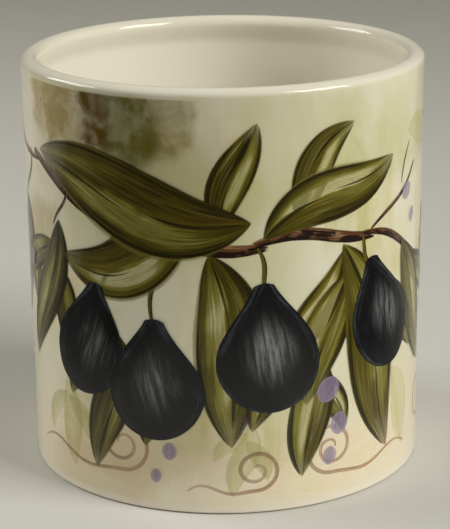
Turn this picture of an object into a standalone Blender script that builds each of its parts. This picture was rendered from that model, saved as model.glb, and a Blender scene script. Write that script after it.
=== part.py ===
"""A straight-sided kitchen crock of glazed earthenware, open at the top and cast in one piece.

The wall leans out a little towards the top and thickens into a lip, which slopes outwards in a
broad curve and rolls over into the crock. Inside, the wall meets the floor in a wide cove.
Underneath, a wiped foot ring carries the crock, with a shallow recess inside it. The origin is
on the crock's axis, on the plane that it stands on, with +Z up. Every length is in metres.
"""

import math

import bmesh
import bpy

# Outside of the crock
HEIGHT = 0.1575
LIP_DIAMETER = 0.152
BASE_DIAMETER = 0.1496
BASE_EDGE_RADIUS = 0.0009

# The lip stands this far out from the straight line of the wall, and is thicker than the wall;
# both ease in over this height
LIP_FLARE = 0.0002
LIP_FLARE_HEIGHT = 0.0085
LIP_THICKNESS = 0.0072

# Going over the lip from outside, a small curve turns this many degrees up from the wall, then
# a broad curve crosses the top, and the last one rolls into the crock from this direction
LIP_OUTER_RADIUS = 0.0022
LIP_OUTER_DEGREES = 45
LIP_INNER_RADIUS = 0.0034
LIP_INNER_DEGREES = 100

# Wall and floor
WALL_THICKNESS = 0.0052
FLOOR_THICKNESS = 0.0055
INNER_COVE_RADIUS = 0.010

# Foot ring, on the underside, with the recess that it goes round
FOOT_INSET = 0.0022
FOOT_WIDTH = 0.0062
FOOT_HEIGHT = 0.0003
FOOT_EDGE_RADIUS = 0.00015
RECESS_DEPTH = 0.0022
RECESS_COVE_RADIUS = 0.0010

# The broad curve spans what the two small ones leave of the lip's thickness
LIP_OUTER_TURN = math.radians(LIP_OUTER_DEGREES)
LIP_INNER_TURN = math.radians(LIP_INNER_DEGREES)
LIP_TOP_SPAN = (
    LIP_THICKNESS
    - LIP_OUTER_RADIUS * (1 - math.cos(LIP_OUTER_TURN))
    - LIP_INNER_RADIUS * (1 + math.cos(LIP_INNER_TURN))
)
LIP_TOP_RADIUS = LIP_TOP_SPAN / (math.cos(LIP_OUTER_TURN) - math.cos(LIP_INNER_TURN))
LIP_DROP = LIP_TOP_RADIUS - (LIP_TOP_RADIUS - LIP_OUTER_RADIUS) * math.sin(LIP_OUTER_TURN)

# Heights that follow from the sizes above
LIP_WIDEST_Z = HEIGHT - LIP_DROP
BASE_EDGE_Z = FOOT_HEIGHT + BASE_EDGE_RADIUS
FLOOR_Z = RECESS_DEPTH + FLOOR_THICKNESS

# Fineness of the turned surface
SEGMENTS = 96
LIP_EDGE_STEPS = 4
LIP_TOP_STEPS = 5
LIP_INNER_STEPS = 6
COVE_STEPS = 6
EDGE_STEPS = 4
SMALL_EDGE_STEPS = 2
FLARE_STEPS = 6
AXIS_MERGE_DISTANCE = 0.00001

# Glaze, as the plain ground colour that the decoration is painted over
GLAZE_COLOUR = (0.73, 0.65, 0.43, 1.0)
GLAZE_ROUGHNESS = 0.15


def remove_scene_objects():
    """Empty the scene, so that the crock is all it holds."""
    for old_object in list(bpy.data.objects):
        bpy.data.objects.remove(old_object, do_unlink=True)


def ease(share):
    """Rise smoothly from 0 to 1 as share goes from 0 to 1, level at both ends."""
    share = min(max(share, 0.0), 1.0)
    return share * share * (3.0 - 2.0 * share)


def towards_lip(z):
    """How far the height z is into the flare: 0 on the straight wall and 1 at the lip's widest."""
    return ease(1 - (LIP_WIDEST_Z - z) / LIP_FLARE_HEIGHT)


def outer_radius(z):
    """Outside radius of the wall: a straight lean from the base, plus the flare at the lip."""
    rise_share = (z - BASE_EDGE_Z) / (LIP_WIDEST_Z - BASE_EDGE_Z)
    lean = rise_share * (LIP_DIAMETER / 2 - LIP_FLARE - BASE_DIAMETER / 2)
    return BASE_DIAMETER / 2 + lean + LIP_FLARE * towards_lip(z)


def inner_radius(z):
    """Inside radius of the wall, which thickens from the wall's size to the lip's."""
    thickness = WALL_THICKNESS + (LIP_THICKNESS - WALL_THICKNESS) * towards_lip(z)
    return outer_radius(z) - thickness


def arc(centre, radius, start_degrees, end_degrees, steps):
    """Points (r, z) along an arc, both ends included; 0 degrees points away from the axis."""
    points = []
    for step in range(steps + 1):
        angle = math.radians(start_degrees + (end_degrees - start_degrees) * step / steps)
        points.append((centre[0] + radius * math.cos(angle), centre[1] + radius * math.sin(angle)))
    return points


def flare_heights():
    """Heights through the flare from its foot upwards, leaving out the lip's widest height."""
    shares = [1 - step / FLARE_STEPS for step in range(FLARE_STEPS)]
    return [LIP_WIDEST_Z - LIP_FLARE_HEIGHT * share for share in shares]


def inside_profile():
    """From the axis along the floor, round the cove and up the inner wall to below the lip."""
    cove_top_z = FLOOR_Z + INNER_COVE_RADIUS
    cove_centre = (inner_radius(cove_top_z) - INNER_COVE_RADIUS, cove_top_z)
    points = [(0.0, FLOOR_Z)]
    points += arc(cove_centre, INNER_COVE_RADIUS, -90, 0, COVE_STEPS)
    points += [(inner_radius(z), z) for z in flare_heights()]
    return points


def lip_profile():
    """Over the lip from the inner wall to the outer one: three curves, each meeting the next
    without a corner, because their centres lie on the line of the direction where they meet.
    """
    outer = (LIP_DIAMETER / 2 - LIP_OUTER_RADIUS, LIP_WIDEST_Z)
    top_step = LIP_OUTER_RADIUS - LIP_TOP_RADIUS
    top = (
        outer[0] + top_step * math.cos(LIP_OUTER_TURN),
        outer[1] + top_step * math.sin(LIP_OUTER_TURN),
    )
    inner_step = LIP_TOP_RADIUS - LIP_INNER_RADIUS
    inner = (
        top[0] + inner_step * math.cos(LIP_INNER_TURN),
        top[1] + inner_step * math.sin(LIP_INNER_TURN),
    )
    points = arc(inner, LIP_INNER_RADIUS, 180, LIP_INNER_DEGREES, LIP_INNER_STEPS)
    points += arc(top, LIP_TOP_RADIUS, LIP_INNER_DEGREES, LIP_OUTER_DEGREES, LIP_TOP_STEPS)[1:]
    points += arc(outer, LIP_OUTER_RADIUS, LIP_OUTER_DEGREES, 0, LIP_EDGE_STEPS)[1:]
    return points


def outside_profile():
    """From below the lip down the outer wall and round the bottom edge."""
    edge_centre = (outer_radius(BASE_EDGE_Z) - BASE_EDGE_RADIUS, BASE_EDGE_Z)
    points = [(outer_radius(z), z) for z in reversed(flare_heights())]
    points += arc(edge_centre, BASE_EDGE_RADIUS, 0, -90, EDGE_STEPS)
    return points


def underside_profile():
    """From the bottom edge in to the foot ring, round it, up into the recess and to the axis."""
    foot_outer = BASE_DIAMETER / 2 - FOOT_INSET
    foot_inner = foot_outer - FOOT_WIDTH
    edge = FOOT_EDGE_RADIUS
    recess_corner = (foot_inner - RECESS_COVE_RADIUS, RECESS_DEPTH - RECESS_COVE_RADIUS)
    points = [(foot_outer, FOOT_HEIGHT)]
    points += arc((foot_outer - edge, edge), edge, 0, -90, SMALL_EDGE_STEPS)
    points += arc((foot_inner + edge, edge), edge, -90, -180, SMALL_EDGE_STEPS)
    points += arc(recess_corner, RECESS_COVE_RADIUS, 0, 90, EDGE_STEPS)
    points.append((0.0, RECESS_DEPTH))
    return points


def turned_mesh(name, profile):
    """Turn a profile of (r, z) points once round the Z axis into a closed mesh."""
    bm = bmesh.new()
    vertices = [bm.verts.new((r, 0.0, z)) for r, z in profile]
    edges = [bm.edges.new(pair) for pair in zip(vertices, vertices[1:])]
    bmesh.ops.spin(
        bm,
        geom=vertices + edges,
        cent=(0.0, 0.0, 0.0),
        axis=(0.0, 0.0, 1.0),
        angle=math.tau,
        steps=SEGMENTS,
        use_merge=True,
    )
    bmesh.ops.remove_doubles(bm, verts=bm.verts, dist=AXIS_MERGE_DISTANCE)
    bmesh.ops.recalc_face_normals(bm, faces=bm.faces)
    mesh = bpy.data.meshes.new(name)
    bm.to_mesh(mesh)
    bm.free()
    mesh.shade_smooth()
    mesh.set_sharp_from_angle(angle=math.radians(40))
    return mesh


def glaze_material():
    """Glossy cream glaze."""
    material = bpy.data.materials.new("cream_glaze")
    material.use_nodes = True
    shader = material.node_tree.nodes["Principled BSDF"]
    shader.inputs["Base Color"].default_value = GLAZE_COLOUR
    shader.inputs["Roughness"].default_value = GLAZE_ROUGHNESS
    shader.inputs["Metallic"].default_value = 0.0
    return material


def make_crock_body():
    """The whole crock: wall, lip, floor and foot ring are one casting."""
    profile = inside_profile() + lip_profile() + outside_profile() + underside_profile()
    body = bpy.data.objects.new("crock_body", turned_mesh("crock_body", profile))
    body.data.materials.append(glaze_material())
    bpy.context.scene.collection.objects.link(body)
    return body


remove_scene_objects()
make_crock_body()
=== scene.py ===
# %% [markdown]
# A hand-painted kitchen crock
#
# The object is one piece of glazed earthenware: a round wall that leans out very slightly, a
# lip whose top slopes outwards, a flat floor, and a narrow foot ring of bare clay. Its outside
# is painted with brushes under a clear, glossy glaze. This script builds that finish around a
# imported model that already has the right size. It starts by loading that model, which stays
# where it is.

# %% Load the fixed frame
import math
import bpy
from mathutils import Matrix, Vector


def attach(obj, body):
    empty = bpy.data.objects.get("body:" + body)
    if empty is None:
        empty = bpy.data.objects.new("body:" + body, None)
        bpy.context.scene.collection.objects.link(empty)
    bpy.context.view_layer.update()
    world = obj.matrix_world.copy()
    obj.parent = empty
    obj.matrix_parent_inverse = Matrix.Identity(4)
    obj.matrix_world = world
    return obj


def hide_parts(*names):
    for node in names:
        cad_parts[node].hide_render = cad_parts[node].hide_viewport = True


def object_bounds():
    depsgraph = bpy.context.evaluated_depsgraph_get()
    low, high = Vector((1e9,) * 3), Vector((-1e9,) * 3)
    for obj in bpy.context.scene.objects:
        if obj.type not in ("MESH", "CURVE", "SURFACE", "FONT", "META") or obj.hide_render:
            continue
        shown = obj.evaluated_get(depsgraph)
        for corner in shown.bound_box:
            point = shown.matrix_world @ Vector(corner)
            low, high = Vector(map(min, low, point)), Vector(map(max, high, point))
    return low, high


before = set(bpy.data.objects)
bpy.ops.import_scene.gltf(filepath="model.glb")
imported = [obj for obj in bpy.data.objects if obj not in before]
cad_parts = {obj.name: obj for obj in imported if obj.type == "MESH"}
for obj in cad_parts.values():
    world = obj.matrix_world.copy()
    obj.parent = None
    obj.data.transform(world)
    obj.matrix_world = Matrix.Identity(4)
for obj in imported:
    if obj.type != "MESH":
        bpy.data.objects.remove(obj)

from types import SimpleNamespace

import bpy
import numpy as np
from mathutils import Matrix, Vector

cad_low, cad_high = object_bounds()
LIP_RADIUS = (cad_high.x - cad_low.x) / 2
HEIGHT = cad_high.z
MM = 0.001
print(f"The crock is {2 * LIP_RADIUS / MM:.1f} mm across its lip and {HEIGHT / MM:.1f} mm high")

# %% [markdown]
# The camera
#
# A photographer would stand back and use a long lens, looking down a little, so that both the
# painted front and a slice of the inside show. Where to stand can be worked out from the
# ellipse of the rim: how flat it is gives the angle, and how much smaller the foot looks than
# the rim gives the distance. The picture is 450 by 529 pixels, and the crock's middle sits
# almost at its centre, turned by less than a degree because the camera was not quite level.

# %% Place the camera
PICTURE_WIDTH = 450
PICTURE_HEIGHT = 529
CROCK_CENTRE_PIXEL = (224.8, 248.6)
FOCAL_PIXELS = 1982.0
CAMERA_DISTANCE = 10.12 * LIP_RADIUS
CAMERA_ELEVATION = math.radians(16.52)
CAMERA_ROLL = math.radians(-0.66)
SENSOR_MM = 36.0
NEAREST_SEEN = 0.05


def make_camera():
    """Stand on the -Y side, look down at the crock's middle, then tip until it sits at its pixel."""
    middle = Vector((0, 0, HEIGHT / 2))
    back = Vector((0, -math.cos(CAMERA_ELEVATION), math.sin(CAMERA_ELEVATION)))
    across = (CROCK_CENTRE_PIXEL[0] - PICTURE_WIDTH / 2) / FOCAL_PIXELS
    down = (CROCK_CENTRE_PIXEL[1] - PICTURE_HEIGHT / 2) / FOCAL_PIXELS
    looking_down = Matrix.Rotation(math.pi / 2 - CAMERA_ELEVATION + down, 4, "X")
    turned = Matrix.Rotation(across, 4, "Y")
    rolled = Matrix.Rotation(CAMERA_ROLL, 4, "Z")
    data = bpy.data.cameras.new("camera")
    data.lens = FOCAL_PIXELS * SENSOR_MM / PICTURE_HEIGHT
    data.sensor_width = SENSOR_MM
    data.clip_start = NEAREST_SEEN
    camera = bpy.data.objects.new("camera", data)
    bpy.context.scene.collection.objects.link(camera)
    place = Matrix.Translation(middle + back * CAMERA_DISTANCE)
    camera.matrix_world = place @ looking_down @ turned @ rolled
    bpy.context.scene.camera = camera
    return camera


camera = make_camera()
bpy.context.view_layer.update()


def pixel_of(point):
    """Where a point of the room lands in the picture, in pixels from its top left corner."""
    seen = camera.matrix_world.inverted() @ Vector(point)
    x = PICTURE_WIDTH / 2 - FOCAL_PIXELS * seen.x / seen.z
    y = PICTURE_HEIGHT / 2 + FOCAL_PIXELS * seen.y / seen.z
    return round(x, 1), round(y, 1)


print("Lens", round(camera.data.lens, 1), "mm; the crock's middle lands at", pixel_of((0, 0, HEIGHT / 2)))

# %% [markdown]
# The studio
#
# The crock stands on a pale grey sweep: a floor that rises behind into a wall with no corner.
# A large soft box on the right, somewhat in front, is the main light. A second one, low and
# wide on the left, draws the thin bright line on the left of the rim. A very broad, weak one
# in front opens the shadows, and a dim room fills what is left.

# %% Light the studio
scene = bpy.context.scene
scene.view_settings.view_transform = "Standard"

ROOM_BRIGHTNESS = 0.17
ROOM_COLOUR = (1.0, 1.0, 1.0)
SOFT_BOXES = [
    # name, direction, distance, width and height, power, colour
    ("soft_box_right", (0.69, -0.41, 0.60), 1.50, (0.80, 0.68), 18.6, (1.0, 0.995, 0.97)),
    ("soft_box_left", (-0.86, 0.16, 0.48), 1.50, (0.86, 0.50), 10.8, (1.0, 0.99, 0.96)),
    ("soft_box_front", (-0.25, -0.80, 0.55), 1.80, (2.60, 1.60), 0.8, (1.0, 1.0, 1.0)),
]


def make_room():
    """A dim, even room light from every side."""
    world = bpy.data.worlds.new("room")
    world.use_nodes = True
    background = world.node_tree.nodes["Background"]
    background.inputs["Color"].default_value = (*ROOM_COLOUR, 1.0)
    background.inputs["Strength"].default_value = ROOM_BRIGHTNESS
    scene.world = world


def make_soft_box(name, direction, distance, size, power, colour):
    """A soft box, this far from the crock's middle along a direction, facing it."""
    data = bpy.data.lights.new(name, "AREA")
    data.shape = "RECTANGLE"
    data.size, data.size_y = size
    data.energy = power
    data.color = colour
    light = bpy.data.objects.new(name, data)
    scene.collection.objects.link(light)
    away = Vector(direction).normalized()
    light.location = Vector((0, 0, HEIGHT / 2)) + away * distance
    light.rotation_euler = away.to_track_quat("Z", "Y").to_euler()


make_room()
for settings in SOFT_BOXES:
    make_soft_box(*settings)
print(len(SOFT_BOXES), "soft boxes in a dim room")

# %% Bend the sweep
SWEEP_HALF_WIDTH = 2.6
SWEEP_FRONT = -2.4
SWEEP_BEND_START = 1.5
SWEEP_BEND_RADIUS = 0.6
SWEEP_BEND_STEPS = 25
SWEEP_WALL_TOP = 2.4


def mesh_object(name, points, *face_sets):
    """Put points and faces, one array for each number of corners, into an object at the origin."""
    corners = np.concatenate([faces.ravel() for faces in face_sets])
    sides = np.concatenate([np.full(len(faces), faces.shape[1]) for faces in face_sets])
    mesh = bpy.data.meshes.new(name)
    mesh.vertices.add(len(points))
    mesh.vertices.foreach_set("co", np.asarray(points, np.float32).ravel())
    mesh.loops.add(len(corners))
    mesh.loops.foreach_set("vertex_index", corners.astype(np.int32))
    mesh.polygons.add(len(sides))
    mesh.polygons.foreach_set("loop_start", (np.cumsum(sides) - sides).astype(np.int32))
    mesh.update(calc_edges=True)
    mesh.validate()
    mesh.shade_smooth()
    made = bpy.data.objects.new(name, mesh)
    scene.collection.objects.link(made)
    return made


def grid_faces(rows, columns):
    """The quads of a grid whose points run along each row, then row by row."""
    corner = (np.arange(rows - 1)[:, None] * columns + np.arange(columns - 1)[None, :]).ravel()
    return np.stack([corner, corner + 1, corner + columns + 1, corner + columns], 1)


def make_sweep():
    """A strip carried along floor, quarter circle and wall."""
    turn = np.radians(np.linspace(0, 90, SWEEP_BEND_STEPS))
    y = np.concatenate([[SWEEP_FRONT], SWEEP_BEND_START + SWEEP_BEND_RADIUS * np.sin(turn)])
    z = np.concatenate([[0.0], SWEEP_BEND_RADIUS * (1 - np.cos(turn))])
    y, z = np.append(y, y[-1]), np.append(z, SWEEP_WALL_TOP)
    x = np.array([-SWEEP_HALF_WIDTH, SWEEP_HALF_WIDTH])
    points = np.stack([np.tile(x, len(y)), np.repeat(y, 2), np.repeat(z, 2)], 1)
    return mesh_object("studio_sweep", points, grid_faces(len(y), 2))


sweep = make_sweep()
print("The sweep runs", SWEEP_BEND_START, "m back before it rises")

# %% [markdown]
# A shorthand for shader nodes
#
# A material is a small network of nodes. Wiring it by hand takes many lines, so one class
# gives each kind of node used here a short call, and another lets what a node puts out be
# added, multiplied and so on with plain signs, each of which adds one more node. An input may
# be a number, a colour or such a value. An effect that several materials share is built once,
# as a node group with named sockets, and placed in each of them.

# %% Colours and values


def srgb(red, green, blue):
    """A colour given as 0 to 255, turned into the linear values that shaders use."""
    share = np.array([red, green, blue]) / 255
    linear = np.where(share <= 0.04045, share / 12.92, ((share + 0.055) / 1.055) ** 2.4)
    return (*(float(value) for value in linear), 1.0)


class Value:
    """What a node puts out; a sum with it adds a node and gives the value of that."""

    def __init__(self, net, socket):
        self.net = net
        self.socket = socket

    def __add__(self, other):
        return self.net.math("ADD", self, other)

    def __sub__(self, other):
        return self.net.math("SUBTRACT", self, other)

    def __rsub__(self, other):
        return self.net.math("SUBTRACT", other, self)

    def __mul__(self, other):
        return self.net.math("MULTIPLY", self, other)

    def __truediv__(self, other):
        return self.net.math("DIVIDE", self, other)

    def __pow__(self, other):
        return self.net.math("POWER", self, other)

    def __abs__(self):
        return self.net.math("ABSOLUTE", self)


print("Middle grey is", round(srgb(128, 128, 128)[0], 3), "in linear light")

# %% A short call for each kind of node


class Net:
    """One node tree, with a short call for each kind of node."""

    def __init__(self, tree):
        self.tree = tree

    def fill(self, made, inputs):
        """Wire or set a node's inputs, by name or number."""
        for key, value in inputs.items():
            if isinstance(value, Value):
                self.tree.links.new(value.socket, made.inputs[key])
            else:
                made.inputs[key].default_value = value

    def outputs_of(self, made):
        """All outputs of a node by name."""
        return SimpleNamespace(**{socket.name: Value(self, socket) for socket in made.outputs})

    def node(self, kind, inputs, output=0, **settings):
        """Add a node, set its options, wire or set its inputs; gives an output by number or name."""
        made = self.tree.nodes.new("ShaderNode" + kind)
        for option, value in settings.items():
            setattr(made, option, value)
        self.fill(made, inputs)
        return Value(self, made.outputs[output])

    def group(self, group, **inputs):
        """Place a node group with these inputs and give back its outputs."""
        made = self.tree.nodes.new("ShaderNodeGroup")
        made.node_tree = group
        self.fill(made, inputs)
        return self.outputs_of(made)

    def math(self, operation, *values):
        """One sum, such as ADD or SIGN."""
        return self.node("Math", dict(enumerate(values)), operation=operation)

    def mask(self, value, start, end):
        """0 where value is at start, 1 where it is at end, smooth between; start may be larger."""
        inputs = {"Value": value, "From Min": start, "From Max": end, "To Min": 0.0, "To Max": 1.0}
        return self.node("MapRange", inputs, interpolation_type="SMOOTHSTEP")

    def mix(self, share, first, second):
        """The first colour, going over to the second as share goes from 0 to 1.

        A Mix node's inputs 6 and 7 and its output 2 are for colours, the others for numbers and vectors.
        """
        return self.node("Mix", {0: share, 6: first, 7: second}, output=2, data_type="RGBA")

    def noise(self, vector, scale, detail=3.0, roughness=0.5, distortion=0.0):
        """Cloudy values round one half."""
        inputs = {"Vector": vector, "Scale": scale, "Detail": detail}
        inputs.update({"Roughness": roughness, "Distortion": distortion})
        return self.node("TexNoise", inputs)

    def vector(self, x, y, z=0.0):
        """Three values as one vector."""
        return self.node("CombineXYZ", {0: x, 1: y, 2: z})

    def parts(self, vector):
        """The three values of a vector."""
        parted = self.node("SeparateXYZ", {0: vector}).socket.node
        return [Value(self, socket) for socket in parted.outputs]

    def length(self, vector):
        """How long a vector is."""
        return self.node("VectorMath", {0: vector}, output="Value", operation="LENGTH")

    def object_place(self):
        """Where the surface is on the piece, in metres."""
        return self.node("TexCoord", {}, output="Object")

    def attribute(self, name, output="Vector"):
        """What the mesh carries at each point under a name: Vector, or Fac for a single number."""
        return self.node("Attribute", {}, output=output, attribute_name=name)


print("Node shorthand ready")

# %% Start and finish a node group


def new_group(name, *inputs):
    """A node group with these numbers as inputs; returns its net and what comes in."""
    group = bpy.data.node_groups.new(name, "ShaderNodeTree")
    for socket in inputs:
        group.interface.new_socket(name=socket, in_out="INPUT", socket_type="NodeSocketFloat")
    net = Net(group)
    return net, net.outputs_of(group.nodes.new("NodeGroupInput"))


def finished_group(net, kind, values):
    """Put values out by name, as sockets of the kind Float or Color, and give back the group."""
    group = net.tree
    for socket in values:
        group.interface.new_socket(name=socket, in_out="OUTPUT", socket_type="NodeSocket" + kind)
    net.fill(group.nodes.new("NodeGroupOutput"), values)
    print(group.name, "has", len(group.nodes), "nodes")
    return group


print("Node groups take in numbers and put out numbers or colours")

# %% [markdown]
# The sweep's colour
#
# The paper is a warm pale grey. Light falls off across it, and a painted shade also darkens
# its colour slowly with distance from the crock, for the table far from the lamps. What lies in
# front and at both sides, out of the picture, has a deeper painted shade: a glossy upright
# wall that is seen from above mirrors only the table round it, and the dark paint stays dark
# only over a dim one.

# %% Finish the sweep
SWEEP_NEAR = srgb(210, 208, 199)
# painted shade: the paper's colour far from the crock, and where it lies out of the picture in front and at
# the sides
SWEEP_FAR_SHADED = srgb(194, 190, 176)
SWEEP_PAINTED_SHADE = srgb(84, 81, 74)
DIM_STARTS = -0.13
DIM_IS_FULL = -0.36
SWEEP_ROUGHNESS = 0.75
FAR_STARTS = 0.15
FAR_IS_FULL = 1.5
SIDE_DIM_STARTS = 0.12
SIDE_DIM_IS_FULL = 0.24
SIDE_DIM_ENDS_BEHIND = 0.14
VIEW_SPREAD = PICTURE_WIDTH / 2 / FOCAL_PIXELS
REFRACTION = 1.45


def make_material(name, roughness):
    """A material with one Principled shader; returns it with its net and shader."""
    material = bpy.data.materials.new(name)
    material.use_nodes = True
    shader = material.node_tree.nodes["Principled BSDF"]
    shader.inputs["Roughness"].default_value = roughness
    shader.inputs["IOR"].default_value = REFRACTION
    return material, Net(material.node_tree), shader


def sweep_material():
    """Matt paper, very faintly mottled, with painted shade: a little darker far from the crock and darker
    still in front and at the sides.
    """
    material, net, shader = make_material("sweep_paper", SWEEP_ROUGHNESS)
    place = net.object_place()
    x, y, _ = net.parts(place)
    mottle = net.noise(place, 14.0) * 0.10 - 0.05
    # painted shade that deepens with distance from the crock, with a faint random mottle
    colour = net.mix(net.mask(net.length(place), FAR_STARTS, FAR_IS_FULL) + mottle, SWEEP_NEAR, SWEEP_FAR_SHADED)
    # painted shade over the table in front, out of the picture
    colour = net.mix(net.mask(y, DIM_STARTS, DIM_IS_FULL), colour, SWEEP_PAINTED_SHADE)
    # painted shade at both sides, out of the picture, fading out behind the crock
    at_side = net.mask(abs(x) - y * VIEW_SPREAD, SIDE_DIM_STARTS, SIDE_DIM_IS_FULL)
    colour = net.mix(at_side * net.mask(y, SIDE_DIM_ENDS_BEHIND, 0.0), colour, SWEEP_PAINTED_SHADE)
    net.fill(shader, {"Base Color": colour})
    return material


sweep.data.materials.append(sweep_material())
print("Sweep finished")

# %% [markdown]
# The crock's surface
#
# The crock could be a Screw modifier on a drawn outline, but the painting has to lie on
# exactly the same wall, so the outline is a formula that both can ask. The outline runs from
# the middle of the floor up the inside, over the lip, down the outside and under the foot,
# and is turned once round the axis. The lip is thicker than the wall, and is three arcs: one
# that rolls over from the inside, a broader one that slopes outwards across the top, and a
# small one that turns down into the wall. A slip-cast wall is never a perfect circle, so the
# surface swells and narrows by about a tenth of a millimetre, which makes reflections in the
# glaze waver as on the real thing.

# %% The wall as a formula
BASE_RADIUS = 74.8 * MM
BASE_EDGE_RADIUS = 0.9 * MM
LIP_FLARE = 0.2 * MM
LIP_FLARE_HEIGHT = 8.5 * MM
LIP_THICKNESS = 7.2 * MM
LIP_OUTER_RADIUS = 2.2 * MM
LIP_OUTER_DEGREES = 45
LIP_INNER_RADIUS = 3.4 * MM
LIP_INNER_DEGREES = 100
WALL_THICKNESS = 5.2 * MM
FLOOR_THICKNESS = 5.5 * MM
COVE_RADIUS = 10.0 * MM
FOOT_INSET = 2.2 * MM
FOOT_WIDTH = 6.2 * MM
FOOT_HEIGHT = 0.3 * MM
FOOT_EDGE_RADIUS = 0.15 * MM
RECESS_DEPTH = 2.2 * MM
RECESS_COVE_RADIUS = 1.0 * MM


def way(degrees):
    """A step of one from the wall's line: 0 degrees is outwards and 90 is up."""
    return np.array([math.cos(math.radians(degrees)), math.sin(math.radians(degrees))])


LIP_OUTER_WAY = way(LIP_OUTER_DEGREES)
LIP_INNER_WAY = way(LIP_INNER_DEGREES)
LIP_SMALL_ARCS = LIP_OUTER_RADIUS * (1 - LIP_OUTER_WAY[0]) + LIP_INNER_RADIUS * (1 + LIP_INNER_WAY[0])
LIP_TOP_SPAN = LIP_THICKNESS - LIP_SMALL_ARCS
LIP_TOP_RADIUS = LIP_TOP_SPAN / (LIP_OUTER_WAY[0] - LIP_INNER_WAY[0])
LIP_WIDEST_Z = HEIGHT - LIP_TOP_RADIUS + (LIP_TOP_RADIUS - LIP_OUTER_RADIUS) * LIP_OUTER_WAY[1]
BASE_EDGE_Z = FOOT_HEIGHT + BASE_EDGE_RADIUS
FLOOR_Z = RECESS_DEPTH + FLOOR_THICKNESS


def towards_lip(z):
    """0 on the straight wall and 1 at the lip, smooth between."""
    share = np.clip(1 - (LIP_WIDEST_Z - z) / LIP_FLARE_HEIGHT, 0, 1)
    return share * share * (3 - 2 * share)


def outer_radius(z):
    """The wall's outside: a straight lean from base to lip, plus the flare at the lip."""
    lean = (z - BASE_EDGE_Z) / (LIP_WIDEST_Z - BASE_EDGE_Z) * (LIP_RADIUS - LIP_FLARE - BASE_RADIUS)
    return BASE_RADIUS + lean + LIP_FLARE * towards_lip(z)


def inner_radius(z):
    """The wall's inside: the outside less a thickness that grows towards the lip."""
    return outer_radius(z) - WALL_THICKNESS - (LIP_THICKNESS - WALL_THICKNESS) * towards_lip(z)


inside, outside = inner_radius(HEIGHT / 2), outer_radius(HEIGHT / 2)
print(f"Half way up, the wall runs from {inside / MM:.1f} to {outside / MM:.1f} mm out from the axis")

# %% The outline as a formula


def arc(r, z, radius, start, end, steps):
    """Points of an arc about (r, z) from one angle to another, in degrees."""
    angle = np.radians(np.linspace(start, end, steps))
    return np.stack([r + radius * np.cos(angle), z + radius * np.sin(angle)], 1)


def straight(r0, z0, r1, z1, steps):
    """Evenly spaced points from one point to another, without either end."""
    share = np.linspace(0, 1, steps + 2)[1:-1]
    return np.stack([r0 + (r1 - r0) * share, z0 + (z1 - z0) * share], 1)


def lip_arcs():
    """Three arcs that meet without a corner, as each centre lies on the way to the last one."""
    outer = np.array([LIP_RADIUS - LIP_OUTER_RADIUS, LIP_WIDEST_Z])
    top = outer - (LIP_TOP_RADIUS - LIP_OUTER_RADIUS) * LIP_OUTER_WAY
    inner = top + (LIP_TOP_RADIUS - LIP_INNER_RADIUS) * LIP_INNER_WAY
    return np.concatenate([
        arc(*inner, LIP_INNER_RADIUS, 180, LIP_INNER_DEGREES, 14),
        arc(*top, LIP_TOP_RADIUS, LIP_INNER_DEGREES, LIP_OUTER_DEGREES, 12)[1:],
        arc(*outer, LIP_OUTER_RADIUS, LIP_OUTER_DEGREES, 0, 9)[1:],
    ])


def heights(start, bend, end, steps, more_steps):
    """Heights from start to end, more closely spaced on one side of the bend, without the ends."""
    before = np.linspace(start, bend, steps)[1:]
    return np.append(before, np.linspace(bend, end, more_steps)[1:-1])


def crock_outline():
    """Radius and height of each point, from the floor's middle round to the underside's."""
    cove_z = FLOOR_Z + COVE_RADIUS
    cove_r = inner_radius(cove_z) - COVE_RADIUS
    flare_z = LIP_WIDEST_Z - LIP_FLARE_HEIGHT
    lip = lip_arcs()
    inside_z = heights(cove_z, flare_z, lip[0, 1], 50, 14)
    outside_z = heights(LIP_WIDEST_Z, flare_z, BASE_EDGE_Z, 12, 66)
    edge_r = outer_radius(BASE_EDGE_Z) - BASE_EDGE_RADIUS
    foot_outer = BASE_RADIUS - FOOT_INSET
    foot_inner = foot_outer - FOOT_WIDTH
    edge = FOOT_EDGE_RADIUS
    recess_z = RECESS_DEPTH - RECESS_COVE_RADIUS
    recess_r = foot_inner - RECESS_COVE_RADIUS
    return np.concatenate([
        [[0, FLOOR_Z]],
        straight(0, FLOOR_Z, cove_r, FLOOR_Z, 14),
        arc(cove_r, cove_z, COVE_RADIUS, -90, 0, 12),
        np.stack([inner_radius(inside_z), inside_z], 1),
        lip,
        np.stack([outer_radius(outside_z), outside_z], 1),
        arc(edge_r, BASE_EDGE_Z, BASE_EDGE_RADIUS, 0, -90, 8),
        [[foot_outer, FOOT_HEIGHT]],
        arc(foot_outer - edge, edge, edge, 0, -90, 4),
        arc(foot_inner + edge, edge, edge, -90, -180, 4),
        arc(recess_r, recess_z, RECESS_COVE_RADIUS, 0, 90, 6),
        straight(recess_r, RECESS_DEPTH, 0, RECESS_DEPTH, 10),
        [[0, RECESS_DEPTH]],
    ])


outline = crock_outline()
print(len(outline), "points in the outline, which is", round(outline[:, 1].max() / MM, 1), "mm high")

# %% [markdown]
# Turning the outline
#
# Each ring of the surface is the outline at one angle. Angles are counted from the front,
# which faces the camera, so that the painting can be laid out the same way: so many
# millimetres to the right of the front, and so many up. The first and last points lie on the
# axis and are kept once each, as poles, with a fan of triangles round them.

# %% Turn the crock
TURN_STEPS = 360
WAVER = 0.10 * MM


def waver(angle, z):
    """How far the cast wall is out of round: a slight oval, a slight triangle and a slow twist."""
    oval = 0.6 * np.sin(2 * angle + 0.7)
    triangle = 0.3 * np.sin(3 * angle + 1.9 + 18 * z)
    ripple = 0.12 * np.sin(7 * angle + 31 * z) + 0.12 * np.sin(5 * angle - 60 * z + 0.4)
    return WAVER * (oval + triangle + ripple)


def round_place(angle, radius, z):
    """A point at an angle from the front, a radius from the axis and a height."""
    return np.stack([radius * np.sin(angle), -radius * np.cos(angle), z], -1)


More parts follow.
